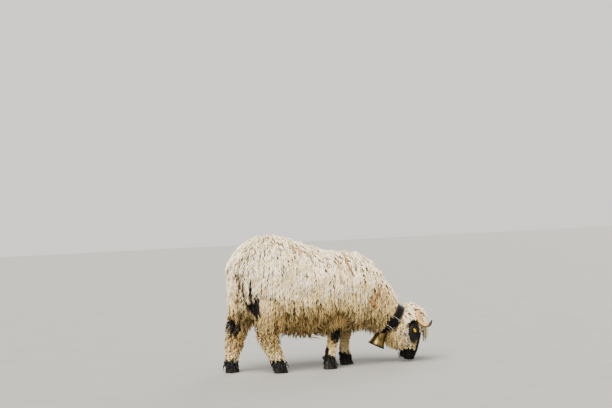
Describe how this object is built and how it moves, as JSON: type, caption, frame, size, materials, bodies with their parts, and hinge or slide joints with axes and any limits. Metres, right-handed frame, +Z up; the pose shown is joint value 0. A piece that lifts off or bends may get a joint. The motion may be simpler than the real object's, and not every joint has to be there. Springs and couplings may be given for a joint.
{
  "type": "valais blacknose sheep",
  "caption": "Life-size still model of a grazing long-wooled mountain sheep with black face, horns, leather collar, bell and ear tag, its head down to the ground.",
  "frame": {"origin": "on the floor, under the middle of the bounding box", "axes": "+X along the sheep towards its head, +Y to its left, +Z up"},
  "size_m": [1.4512, 0.5592, 0.9307],
  "materials": {
    "fleece": "long off-white wool in wavy locks, soiled towards the belly",
    "black_wool": "short matt black hair",
    "horn": "ridged tan horn, dark below and at the tip",
    "hoof": "dark worn hoof horn",
    "eye": "wet dark amber eye with a level pupil",
    "leather": "worn black leather",
    "steel": "dull worn steel",
    "bell_metal": "aged brownish bronze with a dark rim",
    "tag": "bright yellow plastic, blank"
  },
  "bodies": {
    "root": {"torso": "fleece", "neck": "fleece", "head": "fleece", "tail": "fleece", "foreleg_right": "fleece", "foreleg_left": "fleece", "hindleg_right": "fleece", "hindleg_left": "fleece", "ear_right": "black_wool", "ear_left": "black_wool", "eye_right": "eye", "eye_left": "eye", "horn_right": "horn", "horn_left": "horn", "forehoof_right": "hoof", "forehoof_left": "hoof", "hindhoof_right": "hoof", "hindhoof_left": "hoof", "collar_strap": "leather", "collar_keeper": "leather", "bell_hanger": "leather", "collar_band_upper": "steel", "collar_band_lower": "steel", "bell": "bell_metal", "bell_clapper": "steel", "ear_tag": "tag"}
  },
  "joints": []
}
